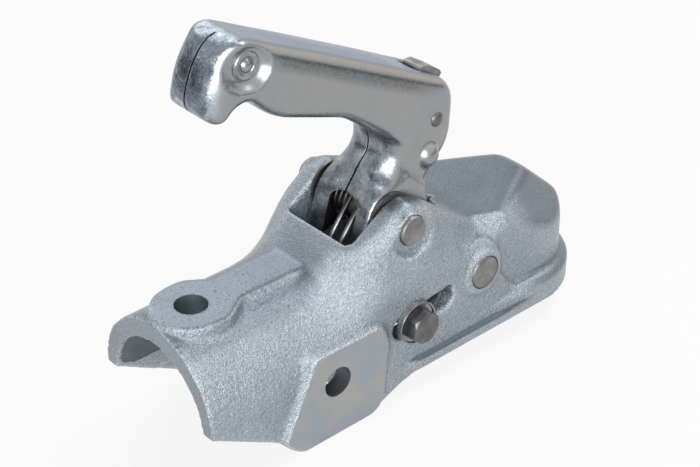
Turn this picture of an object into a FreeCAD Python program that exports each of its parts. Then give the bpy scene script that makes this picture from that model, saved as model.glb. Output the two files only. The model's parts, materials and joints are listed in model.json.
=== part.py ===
import FreeCAD, Part
import math
import os

# Trailer coupling head for a round drawbar tube and a ball, shown open with its lever raised.
# Millimetres. X runs forward along the drawbar axis, Y to the left, Z up.
# The origin is on the drawbar axis in the plane of the rear face.

Vector = FreeCAD.Vector

# Fits
run_gap = 0.05            # radial clearance of a pin in its hole
lay_gap = 0.1             # clearance of faces that are laid or clamped together
seat_gap = 0.3            # clearance between moving faces
clear = 60.0              # reach of a cutting body past everything

# Drawbar saddle
saddle_r = 30.1           # bore for a 60 mm tube
saddle_len = 86.0
saddle_wall = 6.4
shell_rise = 3.1          # height of the shell's arc centre above the tube axis
leg_step_z = -9.5         # lower end of the machined bore
leg_step = 1.1            # side clearance cast below it
leg_low_z = -29.5         # underside of the saddle's legs and of the side bosses
bolt_r = 7.25             # holes for the 14 mm mounting bolts
top_bolt_x = 19.5
side_bolt_x = 66.0
top_boss_h = 1.9          # height of the flat boss and ridge above the shell
top_boss_r = 17.75
ridge_w = 9.6             # half width of the flat ridge on the neck
ridge_short = 10.0        # the ridge ends this far before the saddle's end
side_boss_h = 2.7         # how far the milled bosses stand out from the walls
boss_gap = 4.5            # room between a boss's foot and the bolt's washer

# Housing body, with lengths taken forward from the saddle
end_wall = 6.0            # wall between the saddle and the inner space
wall_out = 0.3            # how far the flat walls stand outside the saddle
wall_t = 9.8              # side walls round the inner space
cheek_gap = 1.6           # room between the lever's foot and a cheek
roof_z = 28.0             # ceiling of the inner space
deck_z = 37.0             # flat top in front of the lever
base_z = -19.0            # underside of the rim
pivot_ahead = 22.0        # pivot, from the rear end of the inner space
jaw_pin_ahead = 42.0      # front pin, from the pivot
ball_ahead = 41.0         # ball, from the front pin
opening_over = 3.3        # the lever opening starts behind the inner space by this
opening_ahead = 44.0      # its pointed front, from the pivot
leg_floor_z = 30.0
throat_z = 18.0
jaw_w = 19.0              # half width of the jaw at the ball
throat_gap = 2.0

# Ball end
ball_r = 25.0
cup_gap = 0.4
cup_wall = 9.7
rim_wall = 14.4
rim_h = 14.5
rim_bevel = 3.2
mouth_flare = 3.0
lip_h = 5.5
lip_out = 2.0             # how far the lip stands out from the walls
facet_d = 14.2            # distance of the deck's front edges from the ball axis
facet_slope = 44.0        # degrees that the facets fall
panel_behind = 30.0       # where the sunk sides of the ball end begin, from the ball

# Pins, bolt and slot
pivot_z = 53.5
pivot_r = 6.9
pivot_sunk = 3.8          # depth of the pivot pin's spot face below the wall
spot_r = 12.5
jaw_pin_z = 15.4
jaw_pin_r = 8.0
jaw_pin_out = 1.4         # how far the front pin's boss stands out from the wall
pin_end = 0.4             # how far a pin stands out from its seat
pin_bevel = 0.7
slide_behind = 1.0        # bolt in its open place, from the pivot
slide_z = 8.3
slide_r = 5.0
slide_travel = 16.3
slide_rise = 8.0          # degrees that the slot climbs towards the ball
slot_w = 11.0
slot_spare_back = 6.5     # free slot behind the bolt's open place
slot_spare_front = 2.7    # free slot in front of its closed place
slot_bevel = 3.2          # slanted lower corner at the slot's front

# Lever, pressed from one sheet
sheet = 2.5
grip_w = 16.0             # half width of grip and neck
foot_out = 2.4            # how far each cheek of the foot stands out from the grip
grip_tilt = 26.8          # degrees that the raised grip climbs to the rear
grip_reach = 76.9         # rear top corner of the grip, back from the pivot
grip_rise = 110.1         # and up from it
grip_drop = 36.0          # depth of the grip's rear end
end_r = 11.0              # rounding of the rear end, seen from above
edge_r = 6.0              # rounding along the pressed edges
heel_r = 7.0              # wide roundings down the rear edges of foot and neck
knee_r = 9.0
waist_r = 11.0
seam = 0.9                # gap where the two edges of the sheet meet
foot_down = 13.5          # lower end of the closed foot, below the pivot
arm_end = 10.3            # lower end of the forked arms, below the bolt
arm_w = 10.5
arch_w = 8.9              # half width of the arch in the foot
arch_y = -1.3
arch_r = 4.0
arch_up = 7.9
bulge_ahead = 25.2        # pressed knobs on the foot
bulge_up = 20.5
bulge_h = 3.0
bulge_r = 4.9

# Rivets and catch of the lever
pocket_s = 11.9           # grip rivet, along and across the grip
pocket_t = 10.4
pocket_deep = 4.0
pocket_r = 7.0
grip_rivet_r = 3.0
grip_head_r = 3.4
grip_head_h = 2.2
flange_t = 0.8
spacer_t = 2.2
elbow_ahead = 30.0        # elbow rivet, from the pivot
elbow_up = 36.1
elbow_r = 2.6
elbow_head_r = 3.5
elbow_head_h = 1.5
elbow_tube_t = 1.6
catch_w = 2.5
catch_hub_r = 6.5
tab_w = 5.5

# Springs
wire_r = 1.4
leg_angle = 54.5          # degrees below level that the legs run to the rear
leg_y = (-1.6, -8.2)
coil_turns = (4.1, 1.1)
tail_len = 10.0
catch_wire_r = 0.6
catch_leg = 9.0
wire_sides = 8
coil_steps = 10

# Bush, washers, bolt and jaw
bush_t = 0.6
side_washer_r = 12.0
hex_af = 16.0
head_h = 6.8
washer_r = 10.5
cup_t = 1.6
cup_h = 1.4
cup_edge = 1.0
lock_t = 2.0
lock_w = 3.6
lock_cut = 1.6
nut_h = 8.0
thread_over = 2.5
roller_t = 1.4
roller_short = 3.5
hub_t = 5.0
jaw_low_z = -17.5

# Places that follow
shell_r = saddle_r + saddle_wall
crown_z = shell_rise + shell_r
wall_y = shell_r + wall_out
core_y = wall_y - wall_t
foot_w = grip_w + foot_out
slot_y = foot_w + cheek_gap
core_back = saddle_len + end_wall
pivot_x = core_back + pivot_ahead
jaw_pin_x = pivot_x + jaw_pin_ahead
ball_x = jaw_pin_x + ball_ahead
slide_x = pivot_x - slide_behind
elbow_x = pivot_x + elbow_ahead
elbow_z = pivot_z + elbow_up
foot_z = pivot_z - foot_down
dome_r = ball_r + cup_wall
rim_r = ball_r + rim_wall
bush_r = pivot_r + bush_t
roller_r = jaw_pin_r + roller_t
spring_r = bush_r + seat_gap + wire_r


def vec(x, y, z):
    return Vector(x, y, z)


def box(x0, x1, y0, y1, z0, z1):
    return Part.makeBox(x1 - x0, y1 - y0, z1 - z0, vec(x0, y0, z0))


def rod_y(x, z, r, y0, y1):
    return Part.makeCylinder(r, y1 - y0, vec(x, y0, z), vec(0, 1, 0))


def tube_y(x, z, r_out, r_in, y0, y1):
    return rod_y(x, z, r_out, y0, y1).cut(rod_y(x, z, r_in, y0 - 1, y1 + 1))


def hole_y(x, z, r):
    return rod_y(x, z, r + run_gap, -clear, clear)


def corner_wire(corners, place):
    """Closed wire through (u, v, radius) corners, each rounded by its radius."""
    flat = [Vector(u, v, 0) for u, v, r in corners]
    n = len(corners)
    runs = []
    for i in range(n):
        here = flat[i]
        to_last = (flat[i - 1] - here).normalize()
        to_next = (flat[(i + 1) % n] - here).normalize()
        r = corners[i][2]
        if r <= 0:
            runs.append((here, here, here))
            continue
        half = to_last.getAngle(to_next) / 2
        cut = r / math.tan(half)
        middle = (to_last + to_next).normalize()
        deep = r / math.sin(half) - r
        runs.append((here + to_last * cut, here + middle * deep, here + to_next * cut))
    edges = []
    for i in range(n):
        start, middle, end = runs[i]
        if corners[i][2] > 0:
            arc = Part.Arc(place(start), place(middle), place(end))
            edges.append(arc.toShape())
        after = runs[(i + 1) % n][0]
        if (after - end).Length > 1e-6:
            edges.append(Part.makeLine(place(end), place(after)))
    return Part.Wire(edges)


def at_y(y):
    return lambda p: vec(p.x, y, p.y)


def at_x(x):
    return lambda p: vec(x, p.x, p.y)


def at_z(z):
    return lambda p: vec(p.x, p.y, z)


def side_prism(corners, y0, y1):
    """Solid between y0 and y1 whose outline is drawn in X and Z."""
    return Part.Face(corner_wire(corners, at_y(y0))).extrude(vec(0, y1 - y0, 0))


def plan_prism(corners, z0, z1):
    """Solid between z0 and z1 whose outline is drawn in X and Y."""
    return Part.Face(corner_wire(corners, at_z(z0))).extrude(vec(0, 0, z1 - z0))


def end_prism(corners, x0, x1):
    """Solid between x0 and x1 whose outline is drawn in Y and Z."""
    return Part.Face(corner_wire(corners, at_x(x0))).extrude(vec(x1 - x0, 0, 0))


def mirrored(corners):
    """The corners of one half of a plan outline, carried on round the other half."""
    return corners + [(x, -y, r) for x, y, r in reversed(corners)]


def mirror_y(shape):
    return shape.mirror(vec(0, 0, 0), vec(0, 1, 0))


def both_sides(shape):
    return shape.fuse(mirror_y(shape))


def fuse_all(shapes):
    return shapes[0].multiFuse(shapes[1:])


def from_pivot(x, z, r=0):
    return pivot_x + x, pivot_z + z, r


def from_elbow(x, z, r=0):
    return elbow_x + x, elbow_z + z, r


def body_section(x, shoulder, crest):
    """Outline across the housing: a foot, a rounded shoulder and a rounded crest on each side."""
    half = [(wall_y, leg_low_z - 2, 0), shoulder, crest]
    other = [(-y, z, r) for y, z, r in reversed(half)]
    return corner_wire(half + other, at_x(x))


def deck_section():
    """The outline where the flat deck and the sides of the ball end begin."""
    return body_section(ball_x - 23, (dome_r, 32, 4), (dome_r - 3.3, deck_z, 2))


def upper_body():
    """The casting's upper skin, from the round saddle through the lever cheeks to the deck."""
    k = shell_r * math.tan(math.radians(22.5))
    round_r = 0.96 * shell_r
    arch_low = (wall_y, shell_rise + k, round_r)
    arch_high = (k, crown_z, round_r)
    # Ahead of the pivot, shoulder height and radius, crest inside the wall, over the pivot, radius
    cheeks = [
        (-48, 18.6, 34, 21.0, -13.4, 32),
        (-41, 19.5, 32, 19.0, -11.9, 27),
        (-34, 21.5, 30, 15.6, -8.5, 20),
        (-28, 24, 28, 11.3, -4.3, 13),
        (-22, 26, 28, 7.6, -1.5, 10),
        (-16, 28, 30, 5.5, 2.3, 9),
        (-6, 30, 36, 4.3, 8.9, 10),
        (2, 30, 36, 4.2, 11.0, 10),
        (12, 29, 32, 4.8, 6.9, 9),
        (26, 27, 24, 8.0, -3.3, 8),
        (37, 26, 18, 11.0, -11.3, 7),
        (44, 26, 14, 12.2, -15.7, 5),
    ]
    wires = [body_section(x, arch_low, arch_high) for x in (0, pivot_x - 56)]
    for ahead, low_z, low_r, inside, rise, r in cheeks:
        crest = (wall_y - inside, pivot_z + rise, r)
        wires.append(body_section(pivot_x + ahead, (wall_y, low_z, low_r), crest))
    wires.append(body_section(ball_x - 33, (wall_y - 0.6, 27, 10), (wall_y - 10.6, deck_z, 4)))
    wires.append(deck_section())
    return Part.makeLoft(wires, True, True)


def below_outline():
    """What lies under the casting, seen from the side."""
    deep = leg_low_z - 10
    far = ball_x + clear
    corners = [
        (-5, 1.5, 0), (0, 1.5, 4), (side_bolt_x - 30, -19.5, 6), (side_bolt_x - 21, leg_low_z, 8),
        (core_back, leg_low_z, 8), (pivot_x - 9, leg_low_z + 6, 10), (pivot_x + 10, base_z, 12),
        (far, base_z, 0), (far, deep, 0), (-5, deep, 0),
    ]
    return side_prism(corners, -clear, clear)


def facet_cutter(angle):
    """Wedge that slopes the top of the ball end down on one side."""
    run = dome_r + 10
    drop = run * math.tan(math.radians(facet_slope))
    start = ball_x + facet_d
    corners = [(start, deck_z, 0), (start + run, deck_z - drop, 0), (start + run, deck_z + 9, 0),
               (start, deck_z + 9, 0)]
    wedge = side_prism(corners, -clear, clear)
    return wedge.rotate(vec(ball_x, 0, 0), vec(0, 0, 1), angle)


def dome():
    """The ball end above the rim: a round wall under a deck with three sloping facets."""
    shape = Part.makeCylinder(dome_r, deck_z - base_z, vec(ball_x, 0, base_z))
    shape = shape.fuse(Part.Face(deck_section()).extrude(vec(23, 0, 0)))
    for angle in (-60, 0, 60):
        shape = shape.cut(facet_cutter(angle))
    return shape


def round_front(half, r):
    """Plan outline from a half outline, closed round the ball's front by an arc of radius r."""
    place = at_z(base_z)
    points = [place(Vector(x, y, 0)) for x, y in half]
    back = [vec(p.x, -p.y, p.z) for p in reversed(points)]
    front = Part.Arc(points[-1], vec(ball_x + r, 0, base_z), back[0]).toShape()
    return Part.Wire([Part.makePolygon(points), front, Part.makePolygon(back + points[:1])])


def rim():
    """The thick edge round the mouth of the ball cup, with a lip along each side."""
    flank = [(pivot_x - 14, wall_y), (ball_x - 32, wall_y + 0.3), (ball_x, rim_r)]
    body = Part.Face(round_front(flank, rim_r)).extrude(vec(0, 0, rim_h))
    top = base_z + rim_h
    upper = [e for e in body.Edges if e.BoundBox.ZMin > top - 0.1 and e.BoundBox.XMax > pivot_x]
    body = body.makeChamfer(rim_bevel, upper)
    lip = [(pivot_x - 10, wall_y - 1), (pivot_x + 2, wall_y + lip_out), (ball_x, rim_r)]
    return body.fuse(Part.Face(round_front(lip, rim_r)).extrude(vec(0, 0, lip_h)))


def panel_cutter():
    """Sinks the side of the ball end below the wall beside it."""
    ledge = base_z + rim_h
    start = ball_x - panel_behind
    corners = [
        (start - 2, 31, 0), (start + 2.5, 8, 12), (start + 8, ledge, 10),
        (ball_x, ledge, 0), (ball_x, clear, 0), (start - 2, clear, 0),
    ]
    return both_sides(side_prism(corners, dome_r, dome_r + 20))


def top_boss():
    """Flat boss round the upright bolt hole, running forward into the ridge of the neck."""
    low = saddle_r + 2
    top = crown_z + top_boss_h
    boss = Part.makeCylinder(top_boss_r, top - low, vec(top_bolt_x, 0, low))
    neck = [(top_bolt_x, top_boss_r, 0), (top_bolt_x + 8, top_boss_r, 8),
            (top_bolt_x + 20, ridge_w, 8), (top_bolt_x + 26, ridge_w, 0)]
    boss = boss.fuse(plan_prism(mirrored(neck), low, top))
    base = [(ridge_w + 4, low, 0), (ridge_w, top, 1.5), (-ridge_w, top, 1.5), (-ridge_w - 4, low, 0)]
    return boss.fuse(end_prism(base, top_bolt_x + 10, saddle_len - ridge_short))


def side_boss():
    """Milled boss round the cross bolt on the right side."""
    rear = side_bolt_x
    front = slide_x - washer_r - boss_gap
    face = [
        (rear - 19, leg_low_z + 0.5, 9), (front - 5, leg_low_z + 0.5, 9), (front - 2, 6, 14),
        (front - 5, 17, 8), (rear - 11.5, 17.3, 3), (rear - 29, -20, 4),
    ]
    foot = [
        (rear - 21, leg_low_z, 10), (front - 4, leg_low_z, 10), (front, 6, 15),
        (front - 3, 18.5, 10), (rear - 15, 18.5, 4), (rear - 34, -20, 5),
    ]
    out = -wall_y - side_boss_h
    wires = [corner_wire(face, at_y(out)), corner_wire(foot, at_y(out + 4))]
    slope = Part.makeLoft(wires, True, True)
    return slope.fuse(side_prism(foot, out + 4, -saddle_r + 2))


def pin_boss():
    """Raised ring round the front pin on the right side."""
    low = 6.0
    base = vec(jaw_pin_x, -wall_y - jaw_pin_out + low, jaw_pin_z)
    return Part.makeCone(jaw_pin_r + 6, jaw_pin_r + 3, low, base, vec(0, -1, 0))


def lever_opening():
    """The gap between the cheeks that the lever works in, pointed at its front."""
    front = pivot_x + opening_ahead
    half = [(core_back - opening_over, slot_y, 2), (front - 16, slot_y, 3), (front - 7, 5.0, 8),
            (front, 0.6, 0)]
    return plan_prism(mirrored(half), roof_z - 1, crown_z + clear)


def inner_space():
    """Hollow that holds the mechanism, open below, and the narrow way on to the ball cup."""
    low = leg_low_z - 5
    core_front = jaw_pin_x + 10
    core = [(core_back, core_y, 5), (core_front, core_y, 3)]
    hollow = plan_prism(mirrored(core), low, roof_z)
    leg_floor = box(core_back - opening_over, core_back + 4, -slot_y, slot_y, leg_floor_z, roof_z + 5)
    throat_w = jaw_w + throat_gap
    throat = box(core_front - 9, ball_x - 8, -throat_w, throat_w, low, throat_z)
    return fuse_all([hollow, leg_floor, throat])


def ball_cup():
    """Seat of the ball: half a sphere over a straight mouth that widens at the rim."""
    r = ball_r + cup_gap
    cup = Part.makeSphere(r, vec(ball_x, 0, 0))
    mouth = Part.makeCylinder(r, 5 - base_z, vec(ball_x, 0, base_z - 5))
    flare = Part.makeCone(r + mouth_flare, r, 5, vec(ball_x, 0, base_z - 0.5))
    return fuse_all([cup, mouth, flare])


def saddle_bore():
    """Round bore for the drawbar, open downwards."""
    bore = Part.makeCylinder(saddle_r, saddle_len + 5, vec(-5, 0, 0), vec(1, 0, 0))
    low = leg_low_z - 5
    slot = box(-5, saddle_len, -saddle_r, saddle_r, low, 0)
    wide = saddle_r + leg_step
    relief = box(-5, saddle_len, -wide, wide, low, leg_step_z)
    return fuse_all([bore, slot, relief])


def slide_dir(length):
    a = math.radians(slide_rise)
    return length * math.cos(a), length * math.sin(a)


def slide_slot():
    """The two slots that the wear bolt runs in."""
    half = slot_w / 2
    back = -half - slot_spare_back
    front = slide_travel + half + slot_spare_front
    corners = [(slide_x + back, slide_z - half, 4.8), (slide_x + front - slot_bevel, slide_z - half, 1),
               (slide_x + front, slide_z - half + slot_bevel, 1), (slide_x + front, slide_z + half, 1.5),
               (slide_x + back, slide_z + half, 4.8)]
    slot = side_prism(corners, -clear, clear)
    return slot.rotate(vec(slide_x, 0, slide_z), vec(0, 1, 0), -slide_rise)


def housing():
    body = fuse_all([upper_body(), dome(), rim()])
    body = body.cut(panel_cutter())
    bosses = both_sides(side_boss().fuse(pin_boss()))
    body = body.fuse(bosses).fuse(top_boss())
    spot = rod_y(pivot_x, pivot_z, spot_r, -clear, -wall_y + pivot_sunk)
    cuts = [
        below_outline(), saddle_bore(), lever_opening(), inner_space(), ball_cup(), both_sides(spot),
        hole_y(pivot_x, pivot_z, pivot_r), hole_y(jaw_pin_x, jaw_pin_z, jaw_pin_r),
        rod_y(side_bolt_x, 0, bolt_r, -clear, clear),
        Part.makeCylinder(bolt_r, clear, vec(top_bolt_x, 0, 10)), slide_slot(),
    ]
    for cut in cuts:
        body = body.cut(cut)
    return body.removeSplitter()


def grip_point(s, t):
    """Place on the lever: s along the grip from its rear top corner, t down across it."""
    a = math.radians(grip_tilt)
    x = pivot_x - grip_reach + math.cos(a) * s - math.sin(a) * t
    z = pivot_z + grip_rise - math.sin(a) * s - math.cos(a) * t
    return x, z


def grip_corner(s, t, r=0):
    x, z = grip_point(s, t)
    return x, z, r


def lever_outline(inset):
    """Side outline of the raised lever, with every edge moved in by the inset."""
    corners = [
        grip_corner(0, 0, 9), from_pivot(42.2, 49.8, 13), from_pivot(40.8, 22.5, 20),
        from_pivot(24.2, 5.3, 7), from_pivot(24, -foot_down), from_pivot(-16, -foot_down),
        from_pivot(-10.4, 6.9, 14), from_pivot(8.6, 31, 10.5), from_pivot(-20.5, 53.7, 26),
        grip_corner(36, 29.6, 40), grip_corner(15.5, 23.0, 8), grip_corner(10.5, grip_drop, 6.2),
        grip_corner(0, grip_drop, 6.1),
    ]
    face = Part.Face(corner_wire(corners, at_y(0)))
    if inset > 0:
        face = face.makeOffset2D(-inset).Faces[0]
    return face


def rear_edge(low, high, half, r, inset):
    """What a wide rounding leaves out along one straight stretch of the near rear edge."""
    run = vec(high[0] - low[0], 0, high[1] - low[1])
    length = run.Length
    block = box(-6, r, -half - 6, -half + r, -1, length + 1)
    block = block.cut(Part.makeCylinder(r - inset, length + 4, vec(r, -half + r, -2)))
    block.rotate(vec(0, 0, 0), vec(0, 1, 0), math.degrees(math.atan2(run.x, run.z)))
    block.translate(vec(low[0], 0, low[1]))
    return block


def lever_form(inset):
    """The lever's closed outer form, or its hollow when it is inset by the sheet."""
    wide = grip_w - inset
    face = lever_outline(inset)
    face.translate(vec(0, -wide, 0))
    form = face.extrude(vec(0, 2 * wide, 0))
    flat = [e for e in form.Edges if e.BoundBox.YLength < 1e-4 and e.BoundBox.ZMax > foot_z + inset + 0.1]
    if inset > 0:
        form = form.makeChamfer(edge_r - inset - 1.0, flat)
    else:
        form = form.makeFillet(edge_r, flat)
    inner = wide - 1.5
    low = [from_pivot(-15.8 + inset, -foot_down), from_pivot(-10.1 + inset, 6.9, 14),
           from_pivot(-2 + inset, 16.7, 5), from_pivot(4.4, 21.5, 3),
           from_pivot(22.5 - inset, 6.3, 4), from_pivot(23.6 - inset, -foot_down)]
    high = [from_pivot(-15.8 + inset, -foot_down), from_pivot(-10.1 + inset, 6.9, 14),
            from_pivot(-1 + inset, 19.5, 5), from_pivot(4.4, 25.5, 3),
            from_pivot(24 - inset, 9.5, 4), from_pivot(23.9 - inset, -foot_down)]
    wires = [corner_wire(high, at_y(-inner)), corner_wire(low, at_y(-foot_w + inset))]
    cheek = Part.makeLoft(wires, True, True)
    form = fuse_all([form, cheek, mirror_y(cheek), side_prism(high, -inner, inner)])
    heel = from_pivot(-15.8, -foot_down)
    knee = from_pivot(-10.1, 6.9)
    waist = from_pivot(-1.6, 17.9)
    throat = from_pivot(8.6, 31)
    end_low = grip_corner(0, grip_drop + 5)
    end_high = grip_corner(0, -5)
    edges = [(heel, knee, foot_w, heel_r), (knee, waist, foot_w, knee_r), (waist, throat, grip_w, waist_r),
             (end_low, end_high, grip_w, end_r)]
    for low, high, half, r in edges:
        form = form.cut(both_sides(rear_edge(low, high, half, r, inset)))
    return form


def grip_pocket(extra):
    """Round pocket that brings the two sides of the grip down to its rivet."""
    x, z = grip_point(pocket_s, pocket_t)
    floor = grip_w - pocket_deep - extra
    depth = pocket_deep + extra + 0.5
    cone = Part.makeCone(pocket_r + extra, pocket_r + pocket_deep + extra, depth,
                         vec(x, -floor, z), vec(0, -1, 0))
    return both_sides(cone)


def lever_arm():
    """Lower arm of one cheek, forked over the wear bolt."""
    top = foot_z + 6
    arm_z = slide_z - arm_end
    arm = [from_pivot(-14.5, top - pivot_z), (slide_x - arm_w, slide_z + 5.7, 12), (slide_x - arm_w, arm_z, 4),
           (slide_x + arm_w, arm_z, 4), (slide_x + arm_w, slide_z + 5.7, 12), from_pivot(20, top - pivot_z)]
    plate = side_prism(arm, -foot_w, -foot_w + sheet)
    wide = slide_r + seat_gap
    top = slide_z + 1.5
    fork = rod_y(slide_x, top, wide, -foot_w - 1, -foot_w + sheet + 1)
    gap = box(slide_x - wide, slide_x + wide, -foot_w - 1, -foot_w + sheet + 1, arm_z - 5, top)
    return plate.cut(fork).cut(gap)


def foot_arch():
    """Arched cut-out in the rear of the foot, where the spring's legs come out."""
    far = arch_y + arch_w
    near = arch_y - arch_w
    top = pivot_z + arch_up
    low = foot_z - 15
    arch = [(near, low, 0), (near, top, arch_r), (far, top, arch_w - 0.6), (far, low, 0)]
    return end_prism(arch, pivot_x - 24, pivot_x - 5)


def seam_cut():
    """Gap where the edges of the folded sheet meet: rear end, underside and throat."""
    ring = [grip_corner(-8, sheet), grip_corner(5, sheet), grip_corner(8, sheet + 3.5),
            from_pivot(34, 45.5), from_pivot(32, 26.5), from_pivot(14, 8.5), from_pivot(10, -23.5),
            from_pivot(-24, -23.5), from_pivot(-grip_reach - 27, 56.5)]
    return side_prism(ring, -seam / 2, seam / 2)


def tab_slot():
    """Slot in the spine for the catch's thumb tab."""
    ring = [from_elbow(-3.6, 28.4), from_elbow(-5.6, 18.6), from_elbow(5.4, 10.0), from_elbow(6.6, 6.8),
            from_elbow(16, 10.8), from_elbow(16, 22.4)]
    wide = tab_w + 2 * seat_gap
    return side_prism(ring, -wide, wide)


def lever_shell():
    """The lever: one sheet folded over its spine into grip, neck and a forked foot."""
    bulge_y = grip_w + bulge_h - bulge_r
    bulge = Part.makeSphere(bulge_r, vec(pivot_x + bulge_ahead, -bulge_y, pivot_z + bulge_up))
    outer = lever_form(0).cut(grip_pocket(0)).fuse(both_sides(bulge))
    inner = lever_form(sheet).cut(grip_pocket(sheet))
    inside = foot_w - sheet
    open_foot = box(pivot_x - 11.5, pivot_x + 20.5, -inside, inside, foot_z - 5, foot_z + 6)
    shell = outer.cut(inner).cut(open_foot)
    shell = shell.fuse(both_sides(lever_arm()))
    grip_x, grip_z = grip_point(pocket_s, pocket_t)
    coil_room = spring_r + wire_r + 2 * seat_gap
    leg_room = coil_room + seat_gap
    for cut in (
        foot_arch(), seam_cut(), tab_slot(),
        rod_y(pivot_x, pivot_z, coil_room, -inside, inside),
        rod_y(pivot_x, pivot_z, leg_room, arch_y - arch_w, 0.2),
        hole_y(pivot_x, pivot_z, pivot_r), hole_y(elbow_x, elbow_z, elbow_r),
        hole_y(grip_x, grip_z, grip_rivet_r),
    ):
        shell = shell.cut(cut)
    return shell.removeSplitter()


def rivet(x, z, shank_r, head_r, head_h, seat_y):
    """Rivet across the lever with a low dome on each side."""
    ball = (head_r * head_r + head_h * head_h) / (2 * head_h)
    cap = Part.makeSphere(ball, vec(x, -seat_y - head_h + ball, z))
    cap = cap.common(rod_y(x, z, head_r, -seat_y - head_h - 1, -seat_y))
    return fuse_all([rod_y(x, z, shank_r, -seat_y, seat_y), cap, mirror_y(cap)])


def grip_rivet():
    """Rivet of the grip: a flanged head with a small dome on each side."""
    x, z = grip_point(pocket_s, pocket_t)
    seat = grip_w - pocket_deep
    flange = both_sides(rod_y(x, z, pocket_r - 2 * seat_gap, -seat - flange_t, -seat))
    return rivet(x, z, grip_rivet_r, grip_head_r, grip_head_h, seat).fuse(flange)


def grip_spacer():
    x, z = grip_point(pocket_s, pocket_t)
    half = grip_w - pocket_deep - sheet - lay_gap
    return tube_y(x, z, grip_rivet_r + spacer_t, grip_rivet_r + run_gap, -half, half)


def elbow_rivet():
    return rivet(elbow_x, elbow_z, elbow_r, elbow_head_r, elbow_head_h, grip_w)


def elbow_spacers():
    """Two tubes that keep the catch in the middle of the lever."""
    half = grip_w - sheet - lay_gap
    tube = tube_y(elbow_x, elbow_z, elbow_r + elbow_tube_t, elbow_r + run_gap, -half, -catch_w - 2 * lay_gap)
    return [tube, mirror_y(tube)]


def safety_catch():
    """Pawl inside the elbow, with a thumb tab through the spine."""
    hub = rod_y(elbow_x, elbow_z, catch_hub_r, -catch_w, catch_w)
    blade = [from_elbow(-6.0, 0.4, 3), from_elbow(-10.0, -23.1, 1), from_elbow(-5.6, -23.1, 1.5),
             from_elbow(3.5, -7.6, 6), from_elbow(5.2, 13.4, 2), from_elbow(-2.5, 16.9, 2)]
    tab = [from_elbow(-3.2, 24.0, 2), from_elbow(1.6, 23.5, 3), from_elbow(9.6, 18.4, 4),
           from_elbow(11.0, 11.8, 1.5), from_elbow(7.6, 9.0, 1), from_elbow(5.8, 11.4, 1),
           from_elbow(-4.2, 18.0, 1)]
    body = hub.fuse(side_prism(blade, -catch_w, catch_w)).fuse(side_prism(tab, -tab_w, tab_w))
    return body.cut(hole_y(elbow_x, elbow_z, elbow_r))


def wire_body(points, r):
    """Wire of radius r, with flat sides, along short straight runs through the points."""
    ahead = (points[1] - points[0]).normalize()
    across = ahead.cross(vec(0, 1, 0)).normalize()
    up = ahead.cross(across)
    ring = []
    for i in range(wire_sides + 1):
        a = 2 * math.pi * i / wire_sides
        ring.append(points[0] + across * (r * math.cos(a)) + up * (r * math.sin(a)))
    path = Part.makePolygon(points)
    return path.makePipeShell([Part.makePolygon(ring)], True, False, 1)


def coil_points(x, z, mean_r, y, turns, pitch, first_angle):
    """Helix about an axis along Y, clockwise as seen from the right, and its end direction."""
    points = []
    mean_r = mean_r / math.sqrt(math.cos(math.pi / coil_steps))
    steps = round(coil_steps * turns)
    for i in range(steps + 1):
        part_way = i / steps
        a = math.radians(first_angle - 360 * turns * part_way)
        points.append(vec(x + mean_r * math.cos(a), y + pitch * turns * part_way, z + mean_r * math.sin(a)))
    return points, vec(math.sin(a), 0, -math.cos(a))


def spring_half(y, turns, side, down, run):
    """One leg, coil and tail of the lever's spring, from the low end of the leg."""
    pitch = 2 * wire_r + lay_gap
    coil, ahead = coil_points(pivot_x, pivot_z, spring_r, y, turns, side * pitch, 90 + leg_angle)
    return [coil[0] + down * run] + coil + [coil[-1] + ahead * tail_len]


def lever_spring():
    """Double torsion spring on the pivot: two coils, a joined pair of legs and two tails."""
    a = math.radians(leg_angle)
    down = vec(-math.cos(a), 0, -math.sin(a))
    bend = (leg_y[0] - leg_y[1]) / 2
    wall_x = core_back - opening_over + seat_gap + wire_r
    run = (pivot_x + down.z * spring_r - wall_x) / -down.x - bend
    far = spring_half(leg_y[0], coil_turns[0], 1, down, run)
    near = spring_half(leg_y[1], coil_turns[1], -1, down, run)
    middle = (far[0] + near[0]) * 0.5
    turn = []
    for angle in (-50, 0, 50):
        a = math.radians(angle)
        turn.append(middle + down * (bend * math.cos(a)) - vec(0, bend * math.sin(a), 0))
    return wire_body(far[::-1] + turn + near, wire_r)


def hexagon(x, z, flats, y0, y1, turn):
    corner = flats / 2 / math.cos(math.radians(30))
    corners = []
    for i in range(6):
        a = math.radians(60 * i + turn)
        corners.append((x + corner * math.cos(a), z + corner * math.sin(a), 0))
    return side_prism(corners, y0, y1)


def slide_bolt():
    """Hexagon bolt that runs in the two slots and shows the wear of the coupling."""
    seat = wall_y + cup_t
    head = hexagon(slide_x, slide_z, hex_af, -seat - head_h, -seat, 20)
    cone = Part.makeCone(hex_af / 2 + head_h, hex_af / 2, head_h, vec(slide_x, -seat, slide_z), vec(0, -1, 0))
    end = seat + lock_t + nut_h + thread_over
    return head.common(cone).fuse(rod_y(slide_x, slide_z, slide_r, -seat - 1, end))


def slide_washer_near():
    """Cupped washer under the bolt head."""
    top = -wall_y - cup_t
    low = -wall_y - lay_gap
    plate = tube_y(slide_x, slide_z, washer_r, slide_r + run_gap, top + lay_gap, low)
    return plate.fuse(tube_y(slide_x, slide_z, washer_r, washer_r - cup_edge, top - cup_h, low))


def slide_washer_far():
    return tube_y(slide_x, slide_z, washer_r, slide_r + run_gap, wall_y + lay_gap, wall_y + cup_t)


def slide_lock_washer():
    """Split ring under the nut."""
    low = wall_y + cup_t
    top = low + lock_t
    ring = tube_y(slide_x, slide_z, slide_r + lock_w, slide_r + run_gap, low, top)
    half = lock_cut / 2
    return ring.cut(box(slide_x - half, slide_x + half, low - 1, top + 1, slide_z, slide_z + washer_r))


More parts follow.
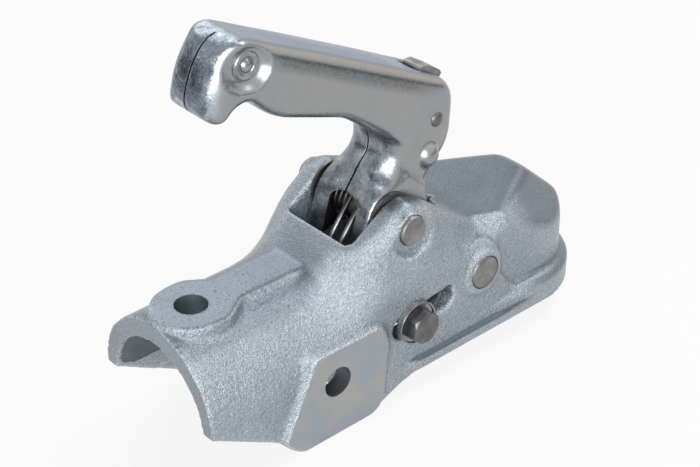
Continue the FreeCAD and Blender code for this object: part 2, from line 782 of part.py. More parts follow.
def slide_nut():
    low = wall_y + cup_t + lock_t
    return hexagon(slide_x, slide_z, hex_af, low, low + nut_h, 8).cut(hole_y(slide_x, slide_z, slide_r))


def ball_jaw():
    """Sliding jaw: a hub on the bolt, a web, and a wedge that grips the ball under its middle."""
    dx, dz = slide_dir(1.0)
    off = roller_r + seat_gap
    top_x = jaw_pin_x + dz * off
    top_z = jaw_pin_z - dx * off
    slope = dz / dx

    def top_at(x):
        return x, top_z + (x - top_x) * slope

    move_x, move_z = slide_dir(slide_travel)
    seat_x = ball_x - move_x
    seat_z = -move_z
    hub_w = foot_w - sheet - seat_gap
    hub = rod_y(slide_x, slide_z, slide_r + hub_t, -hub_w, hub_w)
    web = [(slide_x - 8, slide_z - 5, 0), (slide_x + 9, slide_z + 4, 0), (*top_at(jaw_pin_x - 28), 8),
           (*top_at(jaw_pin_x - 10), 0), (jaw_pin_x - 10, jaw_low_z + 3, 4),
           (slide_x + 9, jaw_low_z + 9.5, 10)]
    wedge = [(*top_at(jaw_pin_x - 14), 0), (*top_at(seat_x), 0), (seat_x, jaw_low_z, 0),
             (jaw_pin_x - 9, jaw_low_z, 6), (jaw_pin_x - 14, jaw_low_z + 5.5, 4)]
    body = fuse_all([hub, side_prism(web, -hub_w, hub_w), side_prism(wedge, -jaw_w, jaw_w)])
    body = body.cut(Part.makeSphere(ball_r + seat_gap, vec(seat_x, 0, seat_z)))
    return body.cut(hole_y(slide_x, slide_z, slide_r))


def guide_roller():
    """Sleeve on the front pin that holds the jaw down."""
    half = core_y - roller_short
    return tube_y(jaw_pin_x, jaw_pin_z, roller_r, jaw_pin_r + run_gap, -half, half)


def bevelled_pin(x, z, r, half):
    pin = rod_y(x, z, r, -half, half)
    return pin.makeChamfer(pin_bevel, [e for e in pin.Edges if e.BoundBox.YLength < 1e-4])


def lever_pivot_pin():
    return bevelled_pin(pivot_x, pivot_z, pivot_r, wall_y - pivot_sunk + pin_end)


def jaw_pin():
    return bevelled_pin(jaw_pin_x, jaw_pin_z, jaw_pin_r, wall_y + jaw_pin_out + pin_end)


def pivot_bush():
    half = foot_w - sheet - seat_gap
    return tube_y(pivot_x, pivot_z, bush_r, pivot_r + run_gap, -half, half)


def pivot_washers():
    ring = tube_y(pivot_x, pivot_z, side_washer_r, pivot_r + run_gap, -slot_y + lay_gap, -foot_w - 2 * lay_gap)
    return [ring, mirror_y(ring)]


def catch_spring():
    """Small torsion spring round the left elbow spacer that returns the catch."""
    mean_r = elbow_r + elbow_tube_t + catch_wire_r + seat_gap
    pitch = 2.5 * catch_wire_r
    coil, ahead = coil_points(elbow_x, elbow_z, mean_r, catch_w + 2 * catch_wire_r, 3.0, pitch, 180)
    points = [coil[0] - vec(0, 0, catch_leg)] + coil + [coil[-1] + ahead * catch_leg]
    return wire_body(points, catch_wire_r)


def save(name, shape):
    if isinstance(shape, list):
        shape = Part.makeCompound(shape)
    bad = [s for s in shape.Solids if not s.isValid()]
    print(name, len(shape.Solids), "solids", len(bad), "bad", round(shape.Volume))
    shape.exportStep("parts/" + name + ".step")


def main():
    os.makedirs("parts", exist_ok=True)
    pieces = [
        housing, lever_pivot_pin, jaw_pin, guide_roller, pivot_bush, pivot_washers, lever_spring,
        lever_shell, grip_rivet, grip_spacer, elbow_rivet, elbow_spacers, safety_catch, catch_spring,
        slide_bolt, slide_washer_near, slide_washer_far, slide_lock_washer, slide_nut, ball_jaw,
    ]
    for piece in pieces:
        save(piece.__name__, piece())


if __name__ == "__main__":
    main()
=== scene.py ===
import bpy
import json
import math
import numpy as np
from contextlib import contextmanager
from mathutils import Matrix, Vector


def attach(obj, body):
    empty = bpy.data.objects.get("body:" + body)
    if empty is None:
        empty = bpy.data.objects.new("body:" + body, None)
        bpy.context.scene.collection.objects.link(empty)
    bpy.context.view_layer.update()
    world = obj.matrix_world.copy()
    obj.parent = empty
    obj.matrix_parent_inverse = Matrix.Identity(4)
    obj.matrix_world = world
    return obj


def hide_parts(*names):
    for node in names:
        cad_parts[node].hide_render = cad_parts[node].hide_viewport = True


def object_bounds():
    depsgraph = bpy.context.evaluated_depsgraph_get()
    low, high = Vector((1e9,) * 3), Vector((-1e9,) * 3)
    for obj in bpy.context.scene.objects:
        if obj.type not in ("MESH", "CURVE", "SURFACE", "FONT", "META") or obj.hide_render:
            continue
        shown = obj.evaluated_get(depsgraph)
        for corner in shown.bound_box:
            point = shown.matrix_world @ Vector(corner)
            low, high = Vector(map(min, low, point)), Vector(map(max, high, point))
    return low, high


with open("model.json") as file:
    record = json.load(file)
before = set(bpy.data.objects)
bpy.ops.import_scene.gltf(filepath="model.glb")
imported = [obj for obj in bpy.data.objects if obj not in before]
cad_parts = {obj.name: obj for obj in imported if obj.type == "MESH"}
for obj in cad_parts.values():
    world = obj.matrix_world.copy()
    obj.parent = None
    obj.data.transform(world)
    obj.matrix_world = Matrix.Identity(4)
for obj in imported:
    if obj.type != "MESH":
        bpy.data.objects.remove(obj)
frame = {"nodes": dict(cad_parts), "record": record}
cad_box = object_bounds()

bl_info = {
    "name": "Trailer coupling head",
    "version": (1, 0, 0),
    "blender": (4, 5, 0),
    "location": "View3D > Sidebar > Coupling",
    "description": "Dresses the coupling head's packed solids as a zinc coated casting with a pressed lever",
    "category": "Object",
}

# Places in millimetres, X and Z
PIVOT = (114, 53.5)
JAW_PIN = (156, 15.4)
SLIDE_BOLT = (113, 8.3)
CROSS_BOLT = (66, 0)
ELBOW = (144, 89.6)
GRIP_CORNER = (37.1, 163.6)
UPRIGHT_BOLT_X = 19.5
GRIP_TILT = math.radians(26.8)
# Depth in millimetres, taken off or filled by smoothing, that marks in full a pale edge (wear and painted
# highlight) and a crease of painted shade
RELIEF_FULL = 0.5


class CastingLook(bpy.types.PropertyGroup):
    voxel: bpy.props.FloatProperty(
        name="Skin cell", description="Cell size of the casting's skin", default=0.0011, unit="LENGTH")
    rounding: bpy.props.IntProperty(
        name="Rounding", description="Smoothing steps on the cast edges", default=7)
    dome_rounding: bpy.props.IntProperty(
        name="Dome rounding", description="More smoothing steps on the top of the ball end", default=80)
    zinc: bpy.props.FloatVectorProperty(
        name="Zinc", description="Colour of the rough zinc coat", default=(0.325, 0.368, 0.408),
        subtype="COLOR")
    # Darker than the zinc partly as painted shade: the up-facing tops carry their dark reflection in this
    # colour
    flat: bpy.props.FloatVectorProperty(
        name="Flat faces", description="Colour of the smoother flat faces", default=(0.15, 0.18, 0.211),
        subtype="COLOR")
    milled: bpy.props.FloatVectorProperty(
        name="Milled faces", description="Colour of the machined faces", default=(0.36, 0.36, 0.345),
        subtype="COLOR")
    grain: bpy.props.FloatProperty(
        name="Grain", description="Height of the sand grain", default=0.0006, unit="LENGTH")
    bolt_hole: bpy.props.FloatProperty(
        name="Bolt hole", description="Radius of the holes for the mounting bolts", default=0.00725,
        unit="LENGTH")
    bore: bpy.props.FloatProperty(
        name="Drawbar bore", description="Radius of the bore for the drawbar", default=0.0301, unit="LENGTH")


class LeverLook(bpy.types.PropertyGroup):
    voxel: bpy.props.FloatProperty(
        name="Skin cell", description="Cell size of the lever's skin", default=0.0008, unit="LENGTH")
    rounding: bpy.props.IntProperty(
        name="Rounding", description="Smoothing steps on the pressed edges", default=8)
    end_rounding: bpy.props.IntProperty(
        name="End rounding", description="More smoothing steps on the rear end and the elbow", default=30)
    neck_rounding: bpy.props.IntProperty(
        name="Neck rounding", description="More smoothing steps on the neck", default=25)
    seam: bpy.props.FloatProperty(
        name="Seam", description="Gap between the two edges of the sheet", default=0.0008, unit="LENGTH")
    plate: bpy.props.FloatVectorProperty(
        name="Plating", description="Colour of the satin plating on the sides", default=(0.30, 0.318, 0.33),
        subtype="COLOR")


class SteelLook(bpy.types.PropertyGroup):
    raw: bpy.props.FloatVectorProperty(
        name="Raw steel", description="Colour of the turned pins", default=(0.25, 0.248, 0.24),
        subtype="COLOR")
    bolt: bpy.props.FloatVectorProperty(
        name="Bolt steel", description="Colour of the slide bolt", default=(0.15, 0.148, 0.145),
        subtype="COLOR")
    bright: bpy.props.FloatVectorProperty(
        name="Bright steel", description="Colour of washers and wire", default=(0.30, 0.31, 0.325),
        subtype="COLOR")
    bevel: bpy.props.FloatProperty(
        name="Edge break", description="Rounding of the edges of nut and catch", default=0.0003,
        unit="LENGTH")


class StageLook(bpy.types.PropertyGroup):
    key: bpy.props.FloatProperty(name="Key light", description="Power of the large key light", default=31.0)
    sky: bpy.props.FloatProperty(name="Sky", description="Strength of the even light", default=0.3)


def deselect_all():
    if bpy.context.object and bpy.context.object.mode != "OBJECT":
        bpy.ops.object.mode_set(mode="OBJECT")
    bpy.ops.object.select_all(action="DESELECT")


def make_active(piece):
    deselect_all()
    piece.select_set(True)
    bpy.context.view_layer.objects.active = piece


@contextmanager
def editing(piece):
    """Edit mode on one piece, with all of it selected."""
    make_active(piece)
    bpy.ops.object.mode_set(mode="EDIT")
    bpy.ops.mesh.select_all(action="SELECT")
    yield
    bpy.ops.object.mode_set(mode="OBJECT")


def link_piece(name, mesh):
    piece = bpy.data.objects.new(name, mesh)
    bpy.context.scene.collection.objects.link(piece)
    return piece


def mesh_piece(name, points, edges, faces):
    """New piece from places in metres, whose faces all point outwards."""
    mesh = bpy.data.meshes.new(name)
    mesh.from_pydata(points, edges, faces)
    piece = link_piece(name, mesh)
    if faces:
        with editing(piece):
            bpy.ops.mesh.normals_make_consistent(inside=False)
    return piece


def copy_of(node, name):
    """A merged copy of a CAD node's mesh as a piece of its own."""
    piece = link_piece(name, frame["nodes"][node].data.copy())
    piece.data.materials.clear()
    with editing(piece):
        bpy.ops.mesh.remove_doubles(threshold=0.000002)
    return piece


def add_modifier(piece, kind, **values):
    """Adds a modifier with the values given and applies it."""
    make_active(piece)
    bpy.ops.object.modifier_add(type=kind)
    modifier = piece.modifiers[-1]
    for key, value in values.items():
        setattr(modifier, key, value)
    bpy.ops.object.modifier_apply(modifier=modifier.name)


def vertex_table(piece, what, scale=1.0):
    """Places in millimetres (scale 1000) or normals of all the vertices, one row each."""
    flat = np.empty(len(piece.data.vertices) * 3, dtype=np.float32)
    piece.data.vertices.foreach_get(what, flat)
    return flat.reshape(-1, 3) * scale


def mark(piece, name, values):
    """Point attribute from 0 to 1 that a material reads."""
    layer = piece.data.attributes.new(name, "FLOAT", "POINT")
    layer.data.foreach_set("value", np.clip(values, 0, 1).astype(np.float32))


def mark_relief(piece, before, wear_and_glint, sunk):
    """Marks as pale edges the places given and what smoothing took off, partly wear and partly painted
    highlight; marks as painted shade the sunk places and the creases that smoothing filled.
    """
    moved = vertex_table(piece, "co", 1000) - before
    lift = (moved * vertex_table(piece, "normal")).sum(axis=1) / RELIEF_FULL
    mark(piece, "edge", wear_and_glint - lift)
    mark(piece, "painted_crease_shade", np.maximum(2 * lift - 0.1, sunk))


def ramp(value, low, high):
    """0 below low, 1 above high and a straight line between."""
    return np.clip((value - low) / (high - low), 0.0, 1.0)


def weigh(piece, name, weights):
    group = piece.vertex_groups.new(name=name)
    for index in np.nonzero(weights > 0)[0]:
        group.add([int(index)], float(weights[index]), "REPLACE")


def push(piece, weights, shift):
    """Moves a part of the skin by a shift in millimetres, faded by the weights."""
    weigh(piece, "push", weights)
    for axis, length in zip("XYZ", shift):
        if length:
            add_modifier(piece, "DISPLACE", direction=axis, strength=length / 1000, mid_level=0.0,
                         vertex_group="push")
    piece.vertex_groups.remove(piece.vertex_groups["push"])


def join_into(piece, extra):
    """Makes the extra mesh part of the piece."""
    make_active(piece)
    extra.select_set(True)
    bpy.ops.object.join()


def box_cutter(low, high):
    """Cube between two corners given in millimetres."""
    low = Vector(low) / 1000
    high = Vector(high) / 1000
    deselect_all()
    bpy.ops.mesh.primitive_cube_add(size=1, location=(low + high) / 2, scale=high - low)
    bpy.ops.object.transform_apply(location=True, rotation=True, scale=True)
    return bpy.context.object


def rod_cutter(middle, radius, length, axis):
    """Cylinder round a middle given in metres, along X, Y or Z."""
    turn = {"X": (0, math.pi / 2, 0), "Y": (math.pi / 2, 0, 0), "Z": (0, 0, 0)}[axis]
    deselect_all()
    bpy.ops.mesh.primitive_cylinder_add(
        vertices=96, radius=radius, depth=length, location=middle, rotation=turn)
    bpy.ops.object.transform_apply(location=True, rotation=True, scale=True)
    return bpy.context.object


def prism_cutter(outline, y_of, half):
    """Upright slice through an outline in X and Z, in metres, whose middle plane wanders in Y."""
    n = len(outline)
    sides = [(x, y_of(z) + side * half, z) for side in (-1, 1) for x, z in outline]
    walls = [(i, (i + 1) % n, n + (i + 1) % n, n + i) for i in range(n)]
    return mesh_piece("slice", sides, [], walls + [tuple(reversed(range(n))), tuple(range(n, 2 * n))])


def cut_away(piece, cutter, material):
    """Takes the cutter out of the piece, and gives the new faces their own finish."""
    cutter.data.materials.append(material)
    add_modifier(piece, "BOOLEAN", operation="DIFFERENCE", object=cutter, solver="EXACT",
                 material_mode="TRANSFER")
    bpy.data.objects.remove(cutter, do_unlink=True)


def turned_piece(name, middle, profile):
    """Closed piece turned round a line along Y; the profile gives Y and radius, all in millimetres."""
    points = [(r / 1000, y / 1000, 0) for y, r in profile]
    piece = mesh_piece(name, points, [(i, i + 1) for i in range(len(points) - 1)], [])
    add_modifier(piece, "SCREW", axis="Y", steps=72, render_steps=72, use_merge_vertices=True,
                 merge_threshold=0.00001, use_normal_calculate=True)
    x, z = middle
    with editing(piece):
        bpy.ops.transform.translate(value=(x / 1000, 0, z / 1000))
        bpy.ops.mesh.normals_make_consistent(inside=False)
    return piece


def pin_profile(half, r):
    """Straight pin with broken edges and slightly dished ends."""
    dish = 0.12
    end = [(half - dish, 0), (half - dish, r - 2.2), (half, r - 1.7), (half, r - 0.9),
           (half - 0.25, r - 0.35), (half - 0.8, r)]
    return both_ends(end)


def both_ends(end):
    """Whole profile from that of one end, which runs outwards from its middle."""
    return [(-y, r) for y, r in end] + end[::-1]


def body_of_node(node):
    for body, members in frame["record"]["behaviour"]["bodies"].items():
        if node in members:
            return body
    raise RuntimeError("no body holds " + node)


def seat(piece, node):
    """The piece stands for the CAD node and rides on its body."""
    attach(piece, body_of_node(node))
    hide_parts(node)


def smooth_faces(piece, angle=40):
    make_active(piece)
    bpy.ops.object.shade_smooth_by_angle(angle=math.radians(angle))


def new_group(name, inputs, outputs):
    """Empty shader node group with named sockets."""
    group = bpy.data.node_groups.new(name, "ShaderNodeTree")
    for socket, kind in inputs:
        group.interface.new_socket(name=socket, in_out="INPUT", socket_type=kind)
    for socket, kind in outputs:
        group.interface.new_socket(name=socket, in_out="OUTPUT", socket_type=kind)
    return group, group.nodes.new("NodeGroupInput"), group.nodes.new("NodeGroupOutput")


def noise_node(tree, vector, scale, detail=2.0, roughness=0.5):
    node = tree.nodes.new("ShaderNodeTexNoise")
    node.inputs["Scale"].default_value = scale
    node.inputs["Detail"].default_value = detail
    node.inputs["Roughness"].default_value = roughness
    tree.links.new(vector, node.inputs["Vector"])
    return node.outputs["Fac"]


def math_node(tree, operation, first, second, clamp=False):
    node = tree.nodes.new("ShaderNodeMath")
    node.operation = operation
    node.use_clamp = clamp
    for socket, value in zip(node.inputs, (first, second)):
        if isinstance(value, (int, float)):
            socket.default_value = value
        else:
            tree.links.new(value, socket)
    return node.outputs[0]


def range_node(tree, value, low, high, to_low=0.0, to_high=1.0):
    node = tree.nodes.new("ShaderNodeMapRange")
    tree.links.new(value, node.inputs["Value"])
    for name, number in (("From Min", low), ("From Max", high), ("To Min", to_low), ("To Max", to_high)):
        node.inputs[name].default_value = number
    return node.outputs["Result"]


def mix_node(tree, factor, first, second):
    node = tree.nodes.new("ShaderNodeMix")
    node.data_type = "RGBA"
    for name, value in (("Factor_Float", factor), ("A_Color", first), ("B_Color", second)):
        socket = [s for s in node.inputs if s.identifier == name][0]
        if isinstance(value, (int, float)):
            socket.default_value = value
        elif isinstance(value, bpy.types.NodeSocket):
            tree.links.new(value, socket)
        else:
            socket.default_value = tuple(value)[:3] + (1.0,)
    return [s for s in node.outputs if s.identifier == "Result_Color"][0]


def bump_node(tree, height, distance):
    node = tree.nodes.new("ShaderNodeBump")
    node.inputs["Strength"].default_value = 1.0
    node.inputs["Distance"].default_value = distance
    tree.links.new(height, node.inputs["Height"])
    return node.outputs["Normal"]


def grain_group():
    """Sand grain of a casting under its zinc: a height, fine pits, broad patches and small specks, whose
    bright ones are painted glints.
    """
    group, given, out = new_group(
        "cast grain", [("Vector", "NodeSocketVector")],
        [("Height", "NodeSocketFloat"), ("Pits", "NodeSocketFloat"), ("Patch", "NodeSocketFloat"),
         ("Speck glint", "NodeSocketFloat")])
    place = given.outputs["Vector"]
    lumps = group.nodes.new("ShaderNodeTexVoronoi")
    lumps.feature = "SMOOTH_F1"
    lumps.inputs["Smoothness"].default_value = 0.7
    lumps.inputs["Scale"].default_value = 1500
    group.links.new(place, lumps.inputs["Vector"])
    broad = noise_node(group, place, 520, 2.0, 0.5)
    fine = noise_node(group, place, 1900, 2.0, 0.6)
    height = math_node(group, "SUBTRACT", math_node(group, "MULTIPLY", broad, 0.8),
                       math_node(group, "MULTIPLY", lumps.outputs["Distance"], 0.5))
    height = math_node(group, "ADD", height, math_node(group, "MULTIPLY", fine, 0.8))
    group.links.new(height, out.inputs["Height"])
    masks = {"Speck glint": (noise_node(group, place, 1150, 2.0, 0.7), 0.36, 0.64),
             "Pits": (noise_node(group, place, 520, 4.0, 0.75), 0.64, 0.71),
             "Patch": (noise_node(group, place, 38, 4.0, 0.6), 0.35, 0.68)}
    for name, (noise, low, high) in masks.items():
        group.links.new(range_node(group, noise, low, high), out.inputs[name])
    return group


def mottle_group():
    """Hammered mottling of formed sheet: pale, dark and height."""
    group, given, out = new_group(
        "pressed mottle", [("Vector", "NodeSocketVector")],
        [("Dark", "NodeSocketFloat"), ("Pale", "NodeSocketFloat"), ("Height", "NodeSocketFloat")])
    place = given.outputs["Vector"]
    coarse = noise_node(group, place, 210, 4.0, 0.7)
    fine = noise_node(group, place, 900, 3.0, 0.7)
    both = math_node(group, "ADD", math_node(group, "MULTIPLY", coarse, 0.7),
                     math_node(group, "MULTIPLY", fine, 0.3))
    group.links.new(range_node(group, both, 0.53, 0.38), out.inputs["Dark"])
    group.links.new(range_node(group, both, 0.56, 0.66), out.inputs["Pale"])
    group.links.new(both, out.inputs["Height"])
    return group


def group_node(tree, group, place):
    node = tree.nodes.new("ShaderNodeGroup")
    node.node_tree = group
    tree.links.new(place, node.inputs["Vector"])
    return node.outputs


def attribute_node(tree, name):
    node = tree.nodes.new("ShaderNodeAttribute")
    node.attribute_name = name
    return node.outputs["Fac"]


def shade(colour, factor):
    return [c * factor for c in colour]


def new_material(name):
    material = bpy.data.materials.new(name)
    material.use_nodes = True
    tree = material.node_tree
    shader = tree.nodes["Principled BSDF"]
    place = tree.nodes.new("ShaderNodeTexCoord").outputs["Object"]
    return material, tree, shader, place


def casting_material(look, grain):
    """Rough zinc on the walls with painted glints on its grain, smoother and darker flats whose darkness is
    partly painted shade, pale pitted edges that are partly painted highlight, and painted shade in the
    creases.
    """
    material, tree, shader, place = new_material("zinc casting")
    sand = group_node(tree, grain, place)
    flat = attribute_node(tree, "flat")
    edge = attribute_node(tree, "edge")
    painted_crease_shade = attribute_node(tree, "painted_crease_shade")
    zinc = mix_node(tree, sand["Patch"], shade(look.zinc, 1.06), shade(look.zinc, 0.9))
    # Flat faces: a smoother finish, darkened partly as painted shade for the dark reflection on up-facing
    # tops
    level = mix_node(tree, sand["Patch"], look.flat, shade(look.flat, 0.8))
    # Dark specks of grain tone, and bright specks that are painted glints on the grain
    dark = mix_node(tree, sand["Speck glint"], shade(look.zinc, 0.6), shade(look.zinc, 1.75))
    colour = mix_node(tree, flat, mix_node(tree, 0.32, zinc, dark), level)
    pits = math_node(tree, "MULTIPLY", sand["Pits"], range_node(tree, flat, 0, 1, 0.25, 0.8))
    colour = mix_node(tree, pits, colour, shade(look.flat, 0.3))
    # Pale edges: partly wear, partly painted highlight on the convex edges that smoothing rounded
    colour = mix_node(tree, math_node(tree, "MULTIPLY", edge, 0.55), colour, (0.62, 0.65, 0.66))
    # Painted shade in the creases that smoothing filled and on the step's sunk side
    colour = mix_node(tree, math_node(tree, "MULTIPLY", painted_crease_shade, 0.6), colour, shade(look.flat, 0.6))
    tree.links.new(colour, shader.inputs["Base Color"])
    shader.inputs["Metallic"].default_value = 0.75
    tree.links.new(range_node(tree, sand["Height"], 0.2, 0.8, 0.37, 0.24), shader.inputs["Roughness"])
    height = math_node(tree, "MULTIPLY", sand["Height"], range_node(tree, flat, 0, 1, 1.0, 0.22))
    height = math_node(tree, "SUBTRACT", height, math_node(tree, "MULTIPLY", pits, 0.35))
    tree.links.new(bump_node(tree, height, look.grain), shader.inputs["Normal"])
    return material


def milled_material(look):
    """Machined face: almost smooth, with warm and blue patches of zinc."""
    material, tree, shader, place = new_material("milled zinc")
    patch = noise_node(tree, place, 60, 3.0, 0.6)
    tint = mix_node(tree, range_node(tree, patch, 0.38, 0.6), look.milled, (0.30, 0.34, 0.39))
    tree.links.new(tint, shader.inputs["Base Color"])
    shader.inputs["Metallic"].default_value = 0.75
    fine = noise_node(tree, place, 900, 2.0, 0.6)
    tree.links.new(range_node(tree, fine, 0.3, 0.7, 0.34, 0.46), shader.inputs["Roughness"])
    tree.links.new(bump_node(tree, fine, 0.00004), shader.inputs["Normal"])
    return material


def bore_material(look):
    """Inside of the bores: smoother and darker than the sand cast walls."""
    material, tree, shader, place = new_material("bored zinc")
    patch = noise_node(tree, place, 70, 4.0, 0.6)
    tint = mix_node(tree, range_node(tree, patch, 0.35, 0.65), shade(look.flat, 0.75), shade(look.flat, 0.5))
    tree.links.new(tint, shader.inputs["Base Color"])
    shader.inputs["Metallic"].default_value = 0.5
    shader.inputs["Roughness"].default_value = 0.5
    fine = noise_node(tree, place, 700, 2.0, 0.6)
    tree.links.new(bump_node(tree, fine, 0.00008), shader.inputs["Normal"])
    return material


def plating_material(look, mottle):
    """Satin plating on the flat sides, hammered and mottled where the sheet was drawn round; painted
    reflection as a blue spine, a warm stripe and a dark band, and a darker drawn tint that is partly painted
    reflection.
    """
    material, tree, shader, place = new_material("bright plating")
    marks = group_node(tree, mottle, place)
    drawn = attribute_node(tree, "drawn")
    broad = noise_node(tree, place, 30, 3.0, 0.55)
    fine = noise_node(tree, place, 800, 3.0, 0.6)
    tint = mix_node(tree, range_node(tree, broad, 0.42, 0.62), look.plate,
                    (look.plate[0] * 1.08, look.plate[1] * 1.03, look.plate[2] * 0.96))
    # Painted reflection: a dark band below the spine
    band = math_node(tree, "MULTIPLY", attribute_node(tree, "band"),
                     range_node(tree, fine, 0.35, 0.6, 1.0, 0.6))
    tint = mix_node(tree, band, tint, shade(look.plate, 0.36))
    # Painted reflection: a warm stripe along the top of the side, and a blue-grey spine on top
    tint = mix_node(tree, attribute_node(tree, "stripe"), tint, (0.36, 0.325, 0.29))
    tint = mix_node(tree, attribute_node(tree, "spine"), tint, (0.17, 0.215, 0.28))
    dark = math_node(tree, "MULTIPLY", marks["Dark"], drawn)
    pale = math_node(tree, "MULTIPLY", marks["Pale"], drawn)
    # Drawn ends and throat: a darker tint that is partly painted reflection, under hammered dark and pale
    # mottle
    tint = mix_node(tree, math_node(tree, "MULTIPLY", drawn, 0.75), tint, (0.2, 0.242, 0.295))
    tint = mix_node(tree, math_node(tree, "MULTIPLY", dark, 0.85), tint, (0.07, 0.085, 0.11))
    tint = mix_node(tree, math_node(tree, "MULTIPLY", pale, 0.55), tint, (0.8, 0.84, 0.88))
    tint = mix_node(tree, scratches(tree, place), tint, shade(look.plate, 0.35))
    tree.links.new(tint, shader.inputs["Base Color"])
    shader.inputs["Metallic"].default_value = 0.9
    rough = math_node(tree, "SUBTRACT", range_node(tree, fine, 0.3, 0.7, 0.25, 0.36),
                      math_node(tree, "MULTIPLY", drawn, 0.06))
    tree.links.new(rough, shader.inputs["Roughness"])
    height = math_node(tree, "ADD", math_node(tree, "MULTIPLY", fine, 0.08),
                       math_node(tree, "MULTIPLY", marks["Height"], drawn))
    tree.links.new(bump_node(tree, height, 0.00035), shader.inputs["Normal"])
    return material


def scratches(tree, place):
    """Sparse short scratches and specks."""
    mapping = tree.nodes.new("ShaderNodeMapping")
    mapping.inputs["Scale"].default_value = (1.0, 1.0, 7.0)
    mapping.inputs["Rotation"].default_value = (0.0, 0.5, 0.0)
    tree.links.new(place, mapping.inputs["Vector"])
    fine = noise_node(tree, mapping.outputs["Vector"], 260, 5.0, 0.7)
    region = range_node(tree, noise_node(tree, place, 55, 2.0, 0.5), 0.52, 0.6)
    return math_node(tree, "MULTIPLY", range_node(tree, fine, 0.7, 0.76), region)


def steel_material(name, colour, roughness):
    """Turned or forged steel with stains."""
    material, tree, shader, place = new_material(name)
    patch = noise_node(tree, place, 150, 4.0, 0.65)
    fine = noise_node(tree, place, 900, 3.0, 0.6)
    tint = mix_node(tree, range_node(tree, patch, 0.38, 0.62), shade(colour, 1.12), shade(colour, 0.72))
    tree.links.new(tint, shader.inputs["Base Color"])
    shader.inputs["Metallic"].default_value = 0.9
    rough = range_node(tree, fine, 0.3, 0.7, roughness - 0.06, roughness + 0.08)
    tree.links.new(rough, shader.inputs["Roughness"])
    tree.links.new(bump_node(tree, fine, 0.00008), shader.inputs["Normal"])
    return material


def wire_material(look):
    """Bright legs, and turns inside the lever's foot darkened as painted shade."""
    material, tree, shader, place = new_material("spring wire")
    patch = range_node(tree, noise_node(tree, place, 300, 3.0, 0.6), 0.38, 0.62)
    legs = mix_node(tree, patch, shade(look.bright, 0.75), shade(look.bright, 0.5))
    # Painted shade on the turns inside the lever's foot
    tint = mix_node(tree, attribute_node(tree, "painted_coil_shade"), legs, shade(look.bright, 0.1))
    tree.links.new(tint, shader.inputs["Base Color"])
    shader.inputs["Metallic"].default_value = 0.9
    shader.inputs["Roughness"].default_value = 0.3
    return material


def paint_nodes(material, nodes):
    for name in nodes:
        node = frame["nodes"][name]
        if not node.material_slots:
            node.data.materials.append(material)
        for slot in node.material_slots:
            slot.material = material


class COUPLING_OT_casting(bpy.types.Operator):
    """Makes the casting's rounded skin from its solid"""
    bl_idname = "coupling.casting"
    bl_label = "Casting"

    def execute(self, context):
        look = context.scene.coupling_casting
        skin = copy_of("housing", "casting_skin")
        for (x, z), r, low, high in PLUGS:
            for side in (-1, 1):
                middle = (x / 1000, side * (low + high) / 2000, z / 1000)
                join_into(skin, rod_cutter(middle, (r + PLUG_OVER) / 1000, (high - low) / 1000, "Y"))
        middle = (UPRIGHT_BOLT_X / 1000, 0, 0.0363)
        join_into(skin, rod_cutter(middle, look.bolt_hole + PLUG_OVER / 1000, 0.0104, "Z"))
        add_modifier(skin, "REMESH", mode="VOXEL", voxel_size=look.voxel, use_smooth_shade=True)
        before = vertex_table(skin, "co", 1000)
        weigh(skin, "cast", cast_weights(before))
        add_modifier(skin, "SMOOTH", factor=0.5, iterations=look.rounding, vertex_group="cast")
        past, fade = side_step(skin, before)
        # Along the step round the jaw pin's boss: its outer edge is marked pale as painted highlight, and its
        # sunk side dark as painted shade
        band = fade * ramp(abs(past), 1.9, 0.5)
        wear_and_glint = milled_rim(before) + 0.7 * band * (past < 0)
        mark_relief(skin, before, wear_and_glint, 0.8 * band * (past > 0))
        weigh(skin, "dome", dome_weights(before))
        add_modifier(skin, "SMOOTH", factor=0.5, iterations=look.dome_rounding, vertex_group="dome")
        for side in (-1, 1):
            sunk = fade * ramp(past, 0, 1.8) * (before[:, 1] * side > 0)
            push(skin, sunk, (0, -STEP_DEPTH * side, 0))
        mark(skin, "flat", flat_faces(before, vertex_table(skin, "normal")))
        skin.data.materials.append(casting_material(look, grain_group()))
        cut_casting(skin, look)
        smooth_faces(skin)
        seat(skin, "housing")
        return {"FINISHED"}


# Step round the jaw pin's boss, in millimetres: middle of its ring in X and Z, the ring's radius, the line
# that runs on below it as Z and X, the height where the line meets the lip, and the depth of the sunk sides
STEP_RING = (154.5, 19.5)
STEP_RADIUS = 11.5
STEP_LINE = ((-3, -0.9, 2.7, 7.2, 12, 19.5), (179, 176.7, 172.9, 169.4, 167.5, 165.8))
STEP_LIP = -4.2
STEP_DEPTH = 0.9


def side_step(skin, places):
    """How far in millimetres each place is past the step, and how much the step counts there."""
    x, y, z = places.T
    over = z - STEP_RING[1]
    below = np.minimum(x - np.interp(z, *STEP_LINE), 1.3 * (z - STEP_LIP))
    past = np.where(over > 0, np.hypot(x - STEP_RING[0], over) - STEP_RADIUS, below)
    outward = ramp(vertex_table(skin, "normal")[:, 1] * np.sign(y), 0.1, 0.4)
    fade = ramp(x + 0.8 * np.maximum(over, 0), 148, 160) * ramp(-z, -40, -31) * ramp(-x, -214, -200)
    return past, fade * outward * ramp(abs(y), 20, 25)


def milled_rim(places):
    """The last of the cast wall round the milled faces of the side bosses."""
    x, y, z = places.T
    return ramp(abs(y), 38.5, 39.2) * ramp(-x, -104, -102) * ramp(-z, -26, -24)


def dome_weights(places):
    """Full on the top of the ball end, less towards the cheeks and the lip."""
    return ramp(places[:, 0], 168, 185) * ramp(places[:, 2], 2, 10)


